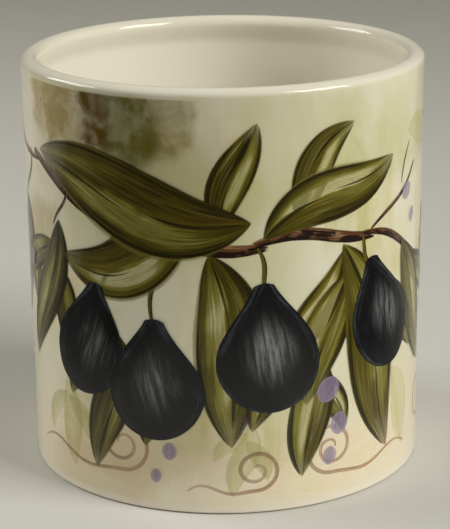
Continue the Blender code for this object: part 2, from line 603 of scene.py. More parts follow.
def make_crock():
    """Every outline point at every angle, then a pole at each end."""
    angle = np.linspace(0, 2 * np.pi, TURN_STEPS, endpoint=False)[:, None]
    r, z = outline[1:-1].T
    out_of_round = waver(angle, z) * np.clip(r / BASE_RADIUS, 0, 1) ** 4
    rings = round_place(angle, r + out_of_round, np.broadcast_to(z, (TURN_STEPS, len(z))))
    points = np.concatenate([rings.reshape(-1, 3), [[0, 0, outline[0, 1]], [0, 0, outline[-1, 1]]]])
    faces = grid_faces(TURN_STEPS + 1, len(z)) % (TURN_STEPS * len(z))
    start = np.arange(TURN_STEPS) * len(z)
    following = np.roll(start, -1)
    floor_pole = np.full(TURN_STEPS, len(points) - 2)
    fans = np.concatenate([
        np.stack([floor_pole, start, following], 1),
        np.stack([floor_pole + 1, following + len(z) - 1, start + len(z) - 1], 1),
    ])
    return mesh_object("crock_glazed", points, faces, fans)


crock = make_crock()
crock.data.calc_loop_triangles()
print(len(crock.data.loop_triangles), "triangles in the crock")

# %% [markdown]
# The ground under the painting
#
# The outside is a warm cream that was wiped over with thin colour before the motifs were
# painted: faint yellow-green clouds, stronger towards the top, and a peach blush near the
# foot. Wide, wet dabs of sand, moss and green lie under the lip and behind the motifs. The lip
# and the inside keep the plain glaze, and the foot ring is wiped down to bare clay. The design
# repeats round the wall, so places on it are counted in millimetres to the right of the front
# and up from the foot, and the first of these starts again at each repeat. A FROM_TO pair says
# where a colour starts to come in and where it is full.

# %% Colours and places on the ground
CREAM = srgb(235, 229, 202)
INSIDE_CREAM = srgb(237, 231, 213)
LIP_CREAM = srgb(231, 225, 203)
PALE_GREEN = srgb(212, 213, 164)
YELLOW_WASH = srgb(226, 217, 172)
PEACH_WASH = srgb(236, 223, 195)
BARE_CLAY = srgb(214, 186, 150)
GREEN_WASH = srgb(182, 178, 92)
SAND_WASH = srgb(171, 146, 82)
MOSS_WASH = srgb(100, 97, 22)

WALL_RADIUS_MM = 75.0
CLOUDS_FROM_TO_MM = (45.0, 150.0)
BLUSH_FROM_TO_MM = (60.0, 12.0)
PALE_FOOT_FROM_TO_MM = (4.5, 1.5)
BARE_FOOT_FROM_TO_MM = (0.5, 0.2)
RING_FROM_TO_MM = (60.0, 66.0)
INSIDE_FROM_TO_PAST_WALL_MM = (-1.5, -2.5)
LIP_CREAM_FROM_TO_PAST_TOP_MM = (-2.2, -0.6)
LIP_CREAM_WAVERS_MM = 1.6
INSIDE_LIP_FROM_TO_PAST_TOP_MM = (-6.0, -1.0)
SPRAYS = 2
SPRAY_STEP_MM = 2 * math.pi * WALL_RADIUS_MM / SPRAYS
DABS = [
    # colour, right, up, half width, half height, strength
    (SAND_WASH, -70, 136, 20, 34, 0.20),
    (SAND_WASH, -82, 98, 17, 14, 0.55),
    (SAND_WASH, -20, 122, 33, 30, 0.34),
    (GREEN_WASH, 4, 106, 28, 30, 0.14),
    (MOSS_WASH, -42, 138, 17, 24, 0.22),
    (GREEN_WASH, 18, 136, 18, 26, 0.28),
    (GREEN_WASH, 42, 136, 16, 20, 0.22),
    (GREEN_WASH, 72, 134, 15, 20, 0.25),
    # the next two low sand dabs are sand wash and painted shade at once: they darken the lower left near the
    # foot
    (SAND_WASH, -34, 30, 44, 22, 0.36),
    (SAND_WASH, -54, 8, 32, 16, 0.30),
    (SAND_WASH, 102, 138, 16, 24, 0.32),
]
print(len(DABS), "dabs on each of", SPRAYS, "sprays,", round(SPRAY_STEP_MM), "mm apart round the wall")

# %% The cream ground as a node group


def dab(net, colour, right, up, marks, settings):
    """Lay one dab over a colour: a rounded patch whose edge wanders, as a wet brush's does.

    How far out a point lies is the fourth root of the sum of its fourth powers aside and above.
    """
    tint, centre, height, half_width, half_height, strength = settings
    aside = (right - centre) / half_width
    above = (up - height) / half_height
    reach = net.math("SQRT", net.length(net.vector(aside * aside, above * above)))
    reach = reach + (marks - 0.5) * 0.9
    cover = net.mask(reach, 1.08, 0.50) * (marks * 1.3 + 0.30) * strength
    return net.mix(cover, colour, tint)


def cream_ground_group():
    """Colour of the glazed ground at each place on the crock."""
    net, _ = new_group("cream_ground")
    place = net.object_place()
    x, y, z = net.parts(place)
    half_step = SPRAY_STEP_MM / 2
    right = net.math("WRAP", net.math("ARCTAN2", x, y * -1.0) * WALL_RADIUS_MM, half_step, -half_step)
    up = z / MM
    upright = net.vector(x, y, z * 0.35)
    patches = net.noise(upright, 42.0, 4.0, 0.6, 0.6)
    colour = net.mix(net.mask(patches, 0.35, 0.75), CREAM, YELLOW_WASH)
    clouds = net.mask(net.noise(place, 17.0, 4.0, 0.55, 0.4), 0.47, 0.66)
    colour = net.mix(clouds * (net.mask(up, *CLOUDS_FROM_TO_MM) * 0.75 + 0.2), colour, PALE_GREEN)
    blush = net.mask(up, *BLUSH_FROM_TO_MM) * net.mask(patches, 0.30, 0.60)
    colour = net.mix(blush, colour, PEACH_WASH)
    streaks = net.mask(net.noise(upright, 170.0, 3.0, 0.6), 0.5, 0.8)
    colour = net.mix(streaks * 0.25, colour, CREAM)
    bristles = net.noise(net.vector(x, y, z * 0.22), 420.0, 3.0, 0.7)
    marks = net.noise(place, 110.0, 5.0, 0.65, 0.6) * 0.60 + bristles * 0.40
    for settings in DABS:
        colour = dab(net, colour, right, up, marks, settings)
    past_top = up - HEIGHT / MM
    top = net.mask(past_top + patches * LIP_CREAM_WAVERS_MM, *LIP_CREAM_FROM_TO_PAST_TOP_MM)
    colour = net.mix(top, colour, LIP_CREAM)
    colour = net.mix(net.mask(up, *PALE_FOOT_FROM_TO_MM) * 0.7, colour, INSIDE_CREAM)
    radius = net.length(net.vector(x, y)) / MM
    inside = net.mask(radius - BASE_RADIUS / MM, *INSIDE_FROM_TO_PAST_WALL_MM)
    near_lip = net.mask(past_top, *INSIDE_LIP_FROM_TO_PAST_TOP_MM)
    colour = net.mix(inside, colour, net.mix(near_lip, INSIDE_CREAM, LIP_CREAM))
    wiped = net.mask(up, *BARE_FOOT_FROM_TO_MM) * net.mask(radius, *RING_FROM_TO_MM)
    return finished_group(net, "Color", {"colour": net.mix(wiped, colour, BARE_CLAY)})


cream_ground = cream_ground_group()

# %% [markdown]
# The glaze
#
# A clear glaze lies over everything, painting included. It is glossy but not a mirror: it
# settles into very shallow waves a few millimetres long, with finer orange peel on top. One
# group gives the height of both, and every material passes it through a Bump node, so that a
# reflection runs on unbroken from the ground onto a painted leaf.

# %% The glaze's waves as a node group
GLAZE_ROUGHNESS = 0.07
BARE_CLAY_ROUGHER = 0.7
GLAZE_WAVE_HEIGHT = 0.04 * MM


def glaze_waves_group():
    """Height of the glaze's slow waves and fine orange peel."""
    net, _ = new_group("glaze_waves")
    place = net.object_place()
    height = net.noise(place, 90.0, 2.0) + net.noise(place, 620.0, 2.0) * 0.08
    return finished_group(net, "Float", {"height": height})


glaze_waves = glaze_waves_group()


def glaze_over(net, shader):
    """Lay the waves over a material."""
    inputs = {"Strength": 1.0, "Distance": GLAZE_WAVE_HEIGHT, "Height": net.group(glaze_waves).height}
    net.fill(shader, {"Normal": net.node("Bump", inputs)})


def ground_material():
    """Cream ground under clear glaze, dry and rough where the foot is bare."""
    material, net, shader = make_material("cream_glaze_ground", GLAZE_ROUGHNESS)
    _, _, z = net.parts(net.object_place())
    roughness = net.mask(z / MM, *BARE_FOOT_FROM_TO_MM) * BARE_CLAY_ROUGHER + GLAZE_ROUGHNESS
    net.fill(shader, {"Base Color": net.group(cream_ground).colour, "Roughness": roughness})
    glaze_over(net, shader)
    return material


crock.data.materials.append(ground_material())
print("Ground and glaze finished")

# %% [markdown]
# Brush strokes as thin sheets
#
# The painting could be a picture wrapped round the wall, but its edges would go soft close up.
# Here each stroke of the brush is a thin sheet of its own, a little proud of the wall as a
# loaded stroke of underglaze is. A stroke has a path on the unrolled wall, in millimetres to
# the right of the front and up from the foot, and a half width all along it. Each point
# remembers how far along and across its stroke it lies, which is all that the brush marks in
# the shader need. Slow waves that go round the crock shift the strokes, so that the two sprays
# of the design are never the same. Every layer has its own range of heights over the wall, and
# none of them meets another, which settles what covers what.

# %% The drift, faces and sides of strokes
DRIFT_RIGHT_MM = 4.0
DRIFT_UP_MM = 2.0


def hand_drift(place):
    """Shift places on the wall by slow waves: none at the front, a few millimetres behind."""
    angle = place[..., 0] / WALL_RADIUS_MM
    right = DRIFT_RIGHT_MM * np.sin(angle) * np.sin(place[..., 1] / 30 + 1.0)
    twist = np.sin(np.pi * place[..., 1] / 155) * np.cos(angle * 2 + 1)
    up = DRIFT_UP_MM * (1 - np.cos(angle)) * twist
    return place + np.stack([right, up], -1)


def sheet_faces(rows, columns):
    """Top, underside and rim of one sheet whose two grids of points follow each other."""
    count = rows * columns
    grid = grid_faces(rows, columns)
    index = np.arange(count).reshape(rows, columns)
    ring = np.concatenate([index[0, :-1], index[:-1, -1], index[-1, :0:-1], index[:0:-1, 0]])
    following = np.roll(ring, -1)
    rim = np.stack([ring, following, following + count, ring + count], 1)
    return np.concatenate([grid[:, ::-1], grid + count, rim])


def sideways(path):
    """The direction to the left of travel at each point of each path, one long."""
    tangent = np.gradient(path, axis=1)
    tangent /= np.linalg.norm(tangent, axis=2, keepdims=True)
    return np.stack([-tangent[..., 1], tangent[..., 0]], -1)


print("A sheet of 3 rows and 2 columns has", len(sheet_faces(3, 2)), "faces")

# %% Lay strokes on the wall
SUNK_MM = 0.3
PAINT_REACH = 1.08
CREASE = math.radians(30)


def lay_strokes(name, strokes, lift, columns):
    """One closed sheet for each stroke, given as paths, half widths, seeds and tints.

    Its top is a grid of places along the path and across it, up to a reach of half widths
    each way, wrapped onto the wall and raised by the lift. Its underside is the same grid sunk
    into the wall, and a rim joins the two. Each stroke has a seed, a random number of its own.
    """
    path, half_width, seed, tint = strokes
    count, rows = half_width.shape
    across = np.linspace(-PAINT_REACH, PAINT_REACH, columns)
    side = half_width[:, :, None, None] * across[:, None] * sideways(path)[:, :, None]
    place = hand_drift(path[:, :, None] + side)
    angle, z = place[..., 0] / WALL_RADIUS_MM, place[..., 1] * MM
    wall = outer_radius(z) + waver(angle, z)
    top = round_place(angle, wall + lift[:, None, None] * MM, z)
    under = round_place(angle, wall - SUNK_MM * MM, z)
    first = 2 * rows * columns * np.arange(count)
    faces = (sheet_faces(rows, columns) + first[:, None, None]).reshape(-1, 4)
    made = mesh_object(name, np.stack([top, under], 1).reshape(-1, 3), faces)
    steps = np.linalg.norm(np.diff(path, axis=1), axis=2)
    run = np.concatenate([np.zeros((count, 1)), np.cumsum(steps, 1)], 1)

    def remember(attribute, *values):
        """Give every point of every sheet these values, under a name."""
        full = np.stack([np.broadcast_to(value, (count, 2, rows, columns)) for value in values], -1)
        kind, key = ("FLOAT", "value") if len(values) == 1 else ("FLOAT_VECTOR", "vector")
        layer = made.data.attributes.new(attribute, kind, "POINT")
        layer.data.foreach_set(key, full.astype(np.float32).ravel())

    each = (slice(None), None, None, None)
    along = (run / run[:, -1:])[:, None, :, None]
    remember("stroke_place", along, across, seed[each])
    remember("stroke_size", run[:, -1][each], half_width.max(axis=1)[each], half_width[:, None, :, None])
    remember("stroke_tint", tint[each])
    made.data.set_sharp_from_angle(angle=CREASE)
    made.visible_shadow = False
    return made


print("A sheet reaches", PAINT_REACH, "half widths each way and", SUNK_MM, "mm into the wall")

# %% Paths, widths and lifts
PAINTER_SEED = 41
LIFTS_MM = {
    # how far over the wall a layer's first and last strokes lie
    "painted_washes": (0.015, 0.05),
    "painted_dry_patches": (0.055, 0.090),
    "painted_pale_leaves": (0.092, 0.098),
    "painted_tendrils": (0.102, 0.106),
    "painted_vines": (0.11, 0.135),
    "painted_leaves": (0.14, 0.38),
    "painted_stalks": (0.388, 0.391),
    "painted_upper_leaves": (0.40, 0.45),
    "painted_figs": (0.465, 0.495),
    "painted_buds": (0.51, 0.52),
}
chance = np.random.default_rng(PAINTER_SEED)


def evenly(rows):
    """Shares from 0 to 1 in even steps."""
    return np.linspace(0, 1, rows)


def crowded(rows):
    """Shares from 0 to 1 whose steps are short at both ends, where a round shape needs them."""
    return (1 - np.cos(np.pi * evenly(rows))) / 2


def bowed_paths(start, end, bow, sway, share):
    """Paths from start to end, pushed sideways by a bow in the middle and by a sway as an S."""
    run = end - start
    side = np.stack([-run[:, 1], run[:, 0]], -1) / np.linalg.norm(run, axis=1, keepdims=True)
    push = bow[:, None] * np.sin(np.pi * share) + sway[:, None] * np.sin(2 * np.pi * share)
    return start[:, None] + run[:, None] * share[:, None] + side[:, None] * push[..., None]


def heading(degrees):
    """A step of one along each direction; 0 degrees is to the right and 90 is up."""
    turn = np.radians(degrees)
    return np.stack([np.cos(turn), np.sin(turn)], -1)


def round_the_crock(table, moved=(0,)):
    """The table once for each spray, the moved columns carried on by a step round the wall."""
    copies = np.tile(np.array(table, float), (SPRAYS, 1))
    copies[:, moved] += np.repeat(np.arange(SPRAYS), len(table))[:, None] * SPRAY_STEP_MM
    return copies


def strokes_from(table, rows, shape):
    """Paths, half widths and tints of the table's strokes, once for each spray."""
    line = round_the_crock(table, (0, 2))
    path = bowed_paths(line[:, 0:2], line[:, 2:4], line[:, 4], line[:, 5], evenly(rows))
    return path, line[:, 6:7] * shape(evenly(rows)), line[:, 7]


def layered(name, strokes):
    """How far over the wall each stroke of a layer lies: rising through a spray, alike in each."""
    return np.tile(np.linspace(*LIFTS_MM[name], len(strokes[0]) // SPRAYS), SPRAYS)


print(len(LIFTS_MM), "layers, the highest", max(high for _, high in LIFTS_MM.values()), "mm over the wall")

# %% [markdown]
# What a loaded brush leaves
#
# Bristles draw streaks along a stroke, its edge wanders a little, and its ends come away
# ragged. All of that can be worked out from where a point lies along and across its stroke, so
# it is one node group that every painted material uses. A soft brush leaves broad, slow bands
# with only faint hair lines between them, so the bands are noise about 6 mm wide that is drawn
# out eight times longer along the stroke, and the hair lines are noise under a millimetre
# wide.

# %% Brush marks as a node group


def brush_marks_group():
    """Bands and hair lines, distance in mm from the stroke's edge, and how far the paint covers."""
    net, start = new_group("brush_marks", "ragged", "wander", "softness", "fade")
    along, across, seed = net.parts(net.attribute("stroke_place"))
    length, width, local = net.parts(net.attribute("stroke_size"))
    run = along * length
    apart = seed * 37.0
    chance_value = net.math("FRACT", seed * 7.31)

    def drawn_out(along_scale, across_scale, more, detail):
        """Noise in mm, longer along the stroke than across it."""
        place = net.vector(run * along_scale, across * width * across_scale, apart + more)
        return net.mask(net.noise(place, 1.0, detail), 0.28, 0.72)

    streak = drawn_out(0.020, 0.17, 0.0, 3.0)
    fine = drawn_out(0.05, 1.25, 5.3, 2.0)
    wander = net.noise(net.vector(run * 0.07, net.math("SIGN", across) * 7.0, apart), 1.0)
    inward = (wander - 0.5) * start.wander + (1.0 - abs(across))
    edge = inward * local
    rough = (fine - 0.5) * start.ragged
    to_end = net.mask(length - run + rough, 0.0, start.fade)
    to_start = net.mask(rough * 0.3 + run, 0.0, start.fade)
    cover = net.mask(edge, 0.0, start.softness) * to_end * to_start
    return finished_group(net, "Float", {
        "along": along,
        "across": across,
        "run": run,
        "aside": across * local,
        "edge": edge,
        "streak": streak,
        "fine": fine,
        "cover": cover,
        "chance": chance_value,
        "shift": chance_value * 31.0,
        "tint": net.attribute("stroke_tint", output="Fac"),
    })


brush_marks = brush_marks_group()

# %% Paint with brush marks


def painted(name, look, ragged=0.0, wander=0.10, softness=0.4, fade=0.05):
    """A material under the glaze; its look works out a colour and a strength from the marks."""
    material, net, shader = make_material(name, GLAZE_ROUGHNESS)
    marks = net.group(brush_marks, ragged=ragged, wander=wander, softness=softness, fade=fade)
    colour, strength = look(net, marks)
    net.fill(shader, {"Base Color": colour, "Alpha": marks.cover * strength})
    glaze_over(net, shader)
    return material


def paint(name, strokes, material, columns=13, lift=None, draw=chance):
    """Lay strokes, each with a random number, give them their material and tie them to the crock.

    Their lift is that of the layer with this name, if no other is given.
    """
    path, half_width, tint = strokes
    count = len(path)
    seeded = path, half_width, draw.random(count), np.broadcast_to(tint, count)
    lift = layered(name, strokes) if lift is None else lift
    piece = lay_strokes(name, seeded, lift, columns)
    piece.data.materials.append(material)
    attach(piece, "root")
    piece.data.calc_loop_triangles()
    print(piece.name, "has", len(piece.data.loop_triangles), "triangles")


print("Every painted material uses the group", brush_marks.name)

# %% [markdown]
# Washes
#
# Before the motifs, the painter laid broad, thin strokes of a wide brush, which show between
# the darker ones and give the ground its depth. They are strokes like any other, only wide,
# with edges that fade out over several millimetres, and mostly clear. A tint of 0 is yellow-
# green and 0.5 is peach. Plain strokes like these all have the same columns in their tables,
# so one function turns any such table into paths.

# %% Paint the washes
WASHES = [
    # start right, start up, end right, end up, bow, sway, half width, tint
    (42, 138, 48, 88, 3, 1.2, 13.0, 0.0),
    (64, 138, 70, 70, -3, -1.2, 13.0, 0.2),
    (-80, 100, -72, 50, 3, 1.2, 14.0, 0.4),
    (-6, 56, -10, 18, -2, -0.8, 11.0, 0.05),
    (18, 50, 22, 14, 2, 0.8, 12.0, 0.0),
    (-80, 24, -12, 16, 2, 0.8, 13.0, 0.5),
    (6, 16, 78, 22, -2, -0.8, 12.0, 0.5),
    (100, 120, 106, 60, 3, 1.2, 12.0, 0.1),
    (92, 18, 150, 14, 2, 0.8, 12.0, 0.5),
]
PEACH_STROKE = srgb(231, 214, 178)


def flat_shape(share):
    """Half width of a flat brush's stroke: full width all along, rounded at both ends."""
    return 1 - np.abs(2 * share - 1) ** 6 * 0.6


def wash_look(net, marks):
    """Thin colour in soft bands, broken where the brush skipped."""
    colour = net.mix(net.mask(marks.tint, 0.15, 0.5), GREEN_WASH, PEACH_STROKE)
    cloud = net.mask(net.noise(net.object_place(), 45.0, 2.0), 0.35, 0.65)
    deep = (cloud * 0.65 + 0.35) * (marks.streak * 0.22 + marks.fine * 0.05 + 0.24)
    return colour, deep * net.mask(marks.along, 0.0, 0.20) * net.mask(marks.along, 1.0, 0.75)


thin_wash = painted("thin_wash", wash_look, ragged=3.0, wander=0.5, softness=4.0, fade=1.0)
paint("painted_washes", strokes_from(WASHES, 30, flat_shape), thin_wash)

# %% [markdown]
# Patches under the lip
#
# Under the lip a wide, dry brush was dabbed as it came down, so those patches are darker and
# mottled, run into each other and break up towards their edges. Their tint is 0 for sand,
# 0.5 for moss and 1 for brown.

# %% Paint the patches under the lip
BROWN_WASH = srgb(98, 71, 3)
PATCH_SEED = 7
PATCHES = [
    # start right, start up, end right, end up, bow, sway, half width, tint
    (-76, 154.2, -76, 124, 0, 0, 15.0, 0.0),
    (-66, 154.2, -66, 122, 0, 0, 13.0, 0.18),
    (-20, 154.2, -20, 128, 0, 0, 14.0, 0.25),
    (-36, 154.2, -36, 120, 0, 0, 15.0, 0.45),
    (-49, 154.2, -49, 126, 0, 0, 10.5, 1.0),
]


def pulled_down_shape(share):
    """Half width of a stroke that starts at full width and is rounded only at its end."""
    return flat_shape(0.5 + share / 2)


def dry_look(net, marks):
    """Sand, moss or brown in blotches that let the ground through; blotches break the edges too."""
    colour = net.mix(net.mask(marks.tint, 0.0, 0.5), SAND_WASH, MOSS_WASH)
    colour = net.mix(net.mask(marks.tint, 0.5, 1.0), colour, BROWN_WASH)
    place = net.object_place()
    blotch = net.noise(place, 100.0, 2.5, 0.5, 0.4)
    dense = (net.mask(blotch, 0.30, 0.68) * 0.40 + 0.66) * (net.noise(place, 520.0, 3.0, 0.6) * 0.7 + 0.65)
    dense = dense * (marks.streak * 0.25 + 0.85) * (marks.tint * 0.50 + 0.60)
    side = net.mask((blotch - 0.60) * 10.0 + marks.edge, -0.5, 7.0)
    return colour, dense * side * net.mask(0.5 - blotch + marks.along, 1.0, 0.35)


dry_wash = painted("dry_wash", dry_look, wander=0.3, softness=2.0, fade=1.0)
patches = strokes_from(PATCHES, 26, pulled_down_shape)
paint("painted_dry_patches", patches, dry_wash, columns=21, draw=np.random.default_rng(PATCH_SEED))

# %% [markdown]
# Leaves
#
# A leaf is a broad blade, mostly with a lobe on one side or both, and each of them is one pull
# of a soft brush outwards. The side lobes start on the blade's own path, a little way up from
# the leaf's base. The brush was loaded with dark and light green at once: one half came out
# dark and the other pale beside the rib, with a dark band inside both edges, a thin see-
# through fringe along one of them, brown and gold in places, and thin at the tip. A tint goes
# from 0, dark and brownish, to 1, fresh and yellowish. The upper leaves lie over the rest, and
# a few pale leaves lie under them all.

# %% Places and lobes of the leaves
LEAVES = [
    # right, up, direction, length, lobes, tint
    (-106, 108, 264, 56, 3, 0.60),
    (-72, 104, 252, 64, 3, 0.40),
    (-40, 66, 260, 54, 3, 0.20),
    (-6, 99, 276, 74, 1, 0.50),
    (30, 64, 266, 52, 3, 0.70),
    (48, 98, 236, 50, 1, 0.45),
    (80, 94, 288, 56, 2, 0.85),
    (46, 99, 283, 82, 3, 1.00),
]
UPPER_LEAVES = [
    (-2, 106, 71, 42, 1, 0.55),
    (14, 104, 22, 64, 2, 0.75),
    (10, 110, 169, 98, 2, 0.50),
]
PALE_LEAVES = [
    (-66, 44, 278, 36, 3, 0.0),
    (70, 46, 284, 34, 1, 0.0),
    (8, 36, 258, 30, 3, 0.0),
    (84, 134, 345, 32, 1, 0.0),
    (104, 72, 278, 46, 3, 0.0),
]
LOBES = np.array([
    # turn, start, length, half width, bow, sway; all but the turn are shares of the leaf's length
    (-36, 0.16, 0.60, 0.118, -0.07, 0.01),
    (34, 0.22, 0.60, 0.122, 0.07, -0.01),
    (0, 0.00, 1.00, 0.168, 0.04, 0.03),
])
print(len(LEAVES) + len(UPPER_LEAVES), "leaves and", len(PALE_LEAVES), "pale ones in each spray")

# %% Shape the leaves
SINGLE_BLADE_WIDER = 1.10
LOBE_START = 0.78
LOBE_END = 0.88
LOBE_WIDEST = LOBE_START / (LOBE_START + LOBE_END)


def leaf_shape(share):
    """Half width of a lobe: a power of the way from the base times a power of the way to the tip."""
    share = np.clip(share, 0.0006, 0.9994)
    fullest = LOBE_WIDEST ** LOBE_START * (1 - LOBE_WIDEST) ** LOBE_END
    return share ** LOBE_START * (1 - share) ** LOBE_END / fullest


def leaf_strokes(table, rows):
    """Strokes of each leaf, the middle one last: paths, half widths in mm and tints."""
    leaf = np.repeat(round_the_crock(table), len(LOBES), axis=0)
    lobe = np.tile(LOBES, (len(leaf) // len(LOBES), 1))
    lobe = lobe * chance.normal(1, [0.06, 0.10, 0.05, 0.06, 0.3, 0.3], lobe.shape)
    order = np.tile(np.arange(len(LOBES)), len(leaf) // len(LOBES))
    kept = order >= len(LOBES) - leaf[:, 4]
    leaf, lobe = leaf[kept], lobe[kept]
    length = leaf[:, 3]
    start = leaf[:, :2] + heading(leaf[:, 2]) * (length * lobe[:, 1])[:, None]
    end = start + heading(leaf[:, 2] + lobe[:, 0]) * (length * lobe[:, 2])[:, None]
    path = bowed_paths(start, end, length * lobe[:, 4], length * lobe[:, 5], crowded(rows))
    wider = np.where(leaf[:, 4] == 1, SINGLE_BLADE_WIDER, 1.0)
    return path, (length * lobe[:, 3] * wider)[:, None] * leaf_shape(crowded(rows)), leaf[:, 5]


leaf_layers = {
    "painted_leaves": leaf_strokes(LEAVES, 40),
    "painted_upper_leaves": leaf_strokes(UPPER_LEAVES, 120),
}
pale_leaves = leaf_strokes(PALE_LEAVES, 26)
for name, strokes in leaf_layers.items():
    print(name, "has", len(strokes[0]), "strokes")

# %% Paint the leaves
LEAF_DARK = srgb(44, 39, 5)
LEAF_MID = srgb(84, 76, 14)
LEAF_LIGHT = srgb(130, 124, 50)
LEAF_PALE = srgb(174, 169, 108)
LEAF_FRINGE = srgb(126, 121, 52)
LEAF_BROWN = srgb(80, 60, 6)
LEAF_GOLD = srgb(124, 100, 24)
PALE_LEAF_GREEN = srgb(172, 172, 104)


def leaf_look(net, marks):
    """One half dark, one pale beside the rib, dark inside both edges, brown here and there."""
    along, across, streak = marks.along, marks.across, marks.streak
    which_half = net.math("SIGN", marks.chance - 0.5)
    wave = net.noise(net.vector(marks.run * 0.05, marks.shift), 1.0, 2.0)
    half = across * which_half + wave * 0.7 - 0.35
    pale = net.mask(half, -0.10, 0.14) * net.mask(half, 0.95, 0.25) * net.mask(abs(along - 0.50), 0.48, 0.12)
    tone = streak * 0.42 + marks.fine * 0.26 - 0.09 + pale * (streak * 0.24 + 0.46)
    tone = tone - net.mask(abs(abs(across) - 0.80), 0.40, 0.05) * 0.18
    tone = tone - net.mask(along, 0.30, 0.05) * 0.12 + marks.tint * 0.30
    colour = net.mix(net.mask(tone, 0.05, 0.42), LEAF_DARK, LEAF_MID)
    colour = net.mix(net.mask(tone, 0.42, 0.80), colour, LEAF_LIGHT)
    colour = net.mix(net.mask(tone, 0.80, 1.10), colour, LEAF_PALE)
    brown = net.mix(net.mask(streak, 0.25, 0.75), LEAF_BROWN, LEAF_GOLD)
    warm = net.mask(net.noise(net.vector(along * 0.9, across, marks.shift), 1.6, 2.0), 0.50, 0.72)
    colour = net.mix(warm * (0.65 - marks.tint * 0.35), colour, brown)
    fringe = net.mask(across * which_half, 0.84, 0.93) * net.mask(along, 0.06, 0.20)
    bare_tip = net.mask(along, 0.78, 1.0) * net.mask(marks.fine, 0.75, 0.35)
    thick = 1.0 - net.mask(tone, 0.76, 1.10) * 0.42
    thick = thick * (1.0 - fringe * 0.45) * (1.0 - bare_tip * 0.50)
    return net.mix(fringe, colour, LEAF_FRINGE), thick


def pale_leaf_look(net, marks):
    """Thin green with a slightly darker edge."""
    strength = marks.streak * 0.26 + net.mask(marks.edge, 1.4, 0.3) * 0.12 + 0.20
    return net.mix(marks.fine, PALE_LEAF_GREEN, GREEN_WASH), strength


pale_green = painted("pale_leaf", pale_leaf_look, wander=0.2, softness=1.2)
paint("painted_pale_leaves", pale_leaves, pale_green)
leaf_greens = painted("leaf_greens", leaf_look, wander=0.08, softness=0.9)
for name, strokes in leaf_layers.items():
    paint(name, strokes, leaf_greens, columns=25)

# %% [markdown]
# Pale strokes and dark lines on the leaves
#
# While a leaf was wet, a drier brush dragged pale, broken strokes along it, each over a part
# of its length only. With a fine brush and nearly black green, the painter then drew a broken
# rib along each lobe and lines just inside its edges. All of these run beside the lobe's own
# path, at a share of its half width, and each is pressed in the middle and lifted at both
# ends. They lie just over their own lobe, so the lobes that lie higher still cover them.

# %% Draw the strokes and lines
LEAF_LINES = [
    # from and to, as shares of the lobe; aside, as a share of its half width; half width in mm
    (0.08, 0.46, -0.04, 0.90),
    (0.48, 0.80, 0.14, 0.75),
    (0.12, 0.70, 0.82, 1.20),
    (0.36, 0.92, -0.84, 1.00),
]
LEAF_LIGHTS = [
    (0.22, 0.70, 0.34, 1.30),
    (0.40, 0.84, -0.26, 1.00),
    (0.16, 0.50, -0.50, 0.90),
    (0.46, 0.78, 0.58, 0.80),
]
LIGHT_OVER_LOBE_MM = 0.005
LINE_OVER_LOBE_MM = 0.009
LINE_GREEN = srgb(30, 25, 3)


def resampled(values, first, last, rows):
    """Places along each stroke, read again at even steps between two shares of its rows."""
    ask = np.linspace(first, last, rows) * (values.shape[1] - 1)
    low = np.minimum(ask.astype(int), values.shape[1] - 2)
    part = (ask - low)[:, None]
    return values[:, low] * (1 - part) + values[:, low + 1] * part


def beside_lobes(table, strokes, rows):
    """The table's strokes on each lobe, tapered as the sine of the way along them."""
    leaf_path, leaf_width, _ = strokes
    taper = np.sin(np.pi * np.clip(evenly(rows), 0.02, 0.98)) ** 0.8
    paths, widths = [], []
    for first, last, aside, half_width in table:
        moved = leaf_path + sideways(leaf_path) * (leaf_width * aside)[..., None]
        paths.append(resampled(moved, first, last, rows))
        widths.append((half_width * chance.uniform(0.5, 1.2, len(moved)))[:, None] * taper)
    return np.concatenate(paths), np.concatenate(widths), 0.0


def line_look(net, marks):
    """Almost black green that thins a little where the brush was lifted."""
    return net.mix(marks.fine, LINE_GREEN, LEAF_DARK), marks.streak * 0.30 + 0.65


def light_look(net, marks):
    """Pale green that the dry brush left in hairs, more on some strokes than on others."""
    hairs = net.mask(marks.fine, 0.25, 0.75)
    return net.mix(marks.streak, LEAF_LIGHT, LEAF_PALE), hairs * (marks.chance * 0.50 + 0.12)


leaf_line = painted("leaf_line", line_look, softness=0.25)
leaf_light = painted("leaf_light", light_look, ragged=4.0, wander=0.5, softness=0.6, fade=2.0)
for name, strokes in leaf_layers.items():
    for ending, table, over, material in (
        ("_lights", LEAF_LIGHTS, LIGHT_OVER_LOBE_MM, leaf_light),
        ("_lines", LEAF_LINES, LINE_OVER_LOBE_MM, leaf_line),
    ):
        marks_on_it = beside_lobes(table, strokes, 56)
        lift = np.tile(layered(name, strokes), len(table)) + over
        paint(name + ending, marks_on_it, material, columns=5, lift=lift)

# %% [markdown]
# Vines, stalks and tendrils
#
# A vine sags from the upper left of each spray to its lower right, in a few overlapping
# strokes of which the middle ones are the thickest, with short twigs, and green stalks for the
# fruit that pass under the upper leaves. Below, tendrils are drawn with the tip of a fine
# brush: a lazy wave that winds up into a wide spiral.

